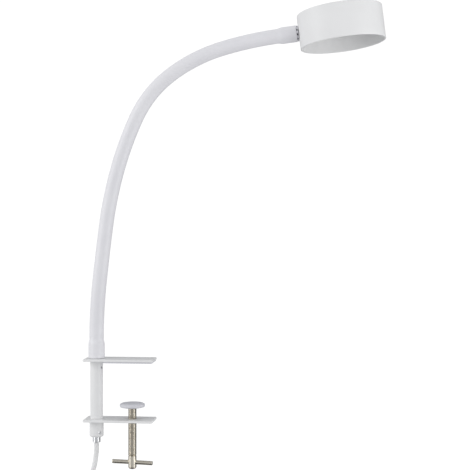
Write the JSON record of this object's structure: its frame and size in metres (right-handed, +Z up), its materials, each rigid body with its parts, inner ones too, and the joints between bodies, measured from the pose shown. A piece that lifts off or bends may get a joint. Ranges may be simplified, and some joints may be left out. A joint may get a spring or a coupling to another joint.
{
  "type": "examination lamp",
  "caption": "Clamp-on examination lamp: twin-plate bench clamp with a tommy-bar screw, post, flexible sleeved arm and a shallow white drum head, with mains lead and plug.",
  "frame": {"origin": "centre of the upper jaw's gripping face (the liner's underside), on the clamping screw's axis", "axes": "+Z up along the clamping screw, +X along the jaw plates from the post towards the lamp's head"},
  "size_m": [0.4857, 0.12, 0.8582],
  "materials": {
    "white_metal": "satin white powder coat",
    "white_plastic": "moulded, faintly lavender white",
    "sleeve": "smooth soft PVC sleeve, satin",
    "nickel": "nickel plated",
    "zinc": "zinc plated",
    "dark_steel": "blackened",
    "cable": "white PVC",
    "alu": "plain rolled",
    "board": "white solder mask",
    "led": "yellow phosphor",
    "opal": "opal diffuser",
    "wire": "thin PVC insulation",
    "black_plastic": "moulded",
    "rocker": "moulded"
  },
  "bodies": {
    "clamp": {"upper_jaw": "white_metal", "jaw_liner": "white_plastic", "lower_jaw": "white_metal", "post": "white_metal", "end_collar": "white_metal", "collar_screw": "zinc", "arm_lock_screw": "zinc", "strain_relief": "zinc", "post_lead": "cable", "mains_cord": "cable", "cord_coil": "cable", "coil_ties": "white_plastic", "cord_tail": "cable", "plug_body": "cable", "plug_pins": "nickel", "plug_earth": "nickel"},
    "arm_base": {"arm_spigot": "zinc", "sleeve_1": "sleeve", "core_1": "zinc", "lead_1": "cable"},
    "arm_2": {"sleeve_2": "sleeve", "core_2": "zinc", "lead_2": "cable"},
    "arm_3": {"sleeve_3": "sleeve", "core_3": "zinc", "lead_3": "cable"},
    "arm_4": {"sleeve_4": "sleeve", "core_4": "zinc", "lead_4": "cable"},
    "arm_5": {"sleeve_5": "sleeve", "core_5": "zinc", "lead_5": "cable"},
    "arm_6": {"sleeve_6": "sleeve", "core_6": "zinc", "lead_6": "cable"},
    "head": {"sleeve_7": "sleeve", "core_7": "zinc", "lead_7": "cable", "head_ferrule": "dark_steel", "head_nipple": "zinc", "toothed_washer": "white_plastic", "lock_nut": "nickel", "shade": "white_metal", "standoffs": "zinc", "baffle_plate": "white_metal", "baffle_screws": "zinc", "heat_sink": "alu", "led_board": "board", "leds": "led", "diffuser": "opal", "bezel": "white_metal", "led_driver": "white_plastic", "terminal_block": "white_plastic", "earth_screw": "zinc", "head_wiring": "wire", "switch_body": "black_plastic"},
    "rocker": {"switch_rocker": "rocker"},
    "pad": {"pressure_pad": "white_plastic"},
    "screw": {"clamp_screw": "nickel", "tommy_bar": "nickel"}
  },
  "joints": [
    {"name": "arm_swivel", "type": "hinge", "parent": "clamp", "child": "arm_base", "pos_m": [-0.052, 0, 0], "axis": [0, 0, 1], "range_deg": [-170, 170]},
    {"name": "arm_bend_1", "type": "hinge", "parent": "arm_base", "child": "arm_2", "pos_m": [-0.04778, 0, 0.1136], "axis": [0.9945, 0, -0.1045], "range_deg": [-30, 30], "deforming": ["sleeve_1", "lead_1"]},
    {"name": "arm_bend_2", "type": "hinge", "parent": "arm_2", "child": "arm_3", "pos_m": [-0.03828, 0, 0.19379], "axis": [0, 1, 0], "range_deg": [-35, 27], "deforming": ["sleeve_2", "lead_2"]},
    {"name": "arm_bend_3", "type": "hinge", "parent": "arm_3", "child": "arm_4", "pos_m": [-0.0222, 0, 0.27286], "axis": [0.9636, 0, -0.2672], "range_deg": [-30, 30], "deforming": ["sleeve_3", "lead_3"]},
    {"name": "arm_bend_4", "type": "hinge", "parent": "arm_4", "child": "arm_5", "pos_m": [0.00572, 0, 0.34853], "axis": [0, 1, 0], "range_deg": [-49, 13], "deforming": ["sleeve_4", "lead_4"]},
    {"name": "arm_bend_5", "type": "hinge", "parent": "arm_5", "child": "arm_6", "pos_m": [0.05653, 0, 0.41017], "axis": [0.5878, 0, -0.809], "range_deg": [-30, 30], "deforming": ["sleeve_5", "lead_5"]},
    {"name": "arm_bend_6", "type": "hinge", "parent": "arm_6", "child": "head", "pos_m": [0.12874, 0, 0.44539], "axis": [0, 1, 0], "range_deg": [-44, 18], "deforming": ["sleeve_6", "lead_6", "sleeve_7", "lead_7"]},
    {"name": "switch_rock", "type": "hinge", "parent": "head", "child": "rocker", "pos_m": [0.29404, 0, 0.49423], "axis": [0, 1, 0], "range_deg": [0, 20]},
    {"name": "pad_travel", "type": "slide", "parent": "clamp", "child": "pad", "axis": [0, 0, 1], "range_m": [-0.016, 0.054]},
    {"name": "screw_turn", "type": "hinge", "parent": "pad", "child": "screw", "pos_m": [0, 0, -0.1], "axis": [0, 0, 1], "range_deg": [-3300, 11120]}
  ],
  "couplings": [
    {"joint": "screw_turn", "follows": "pad_travel", "rad_per_m": 3590.4}
  ]
}
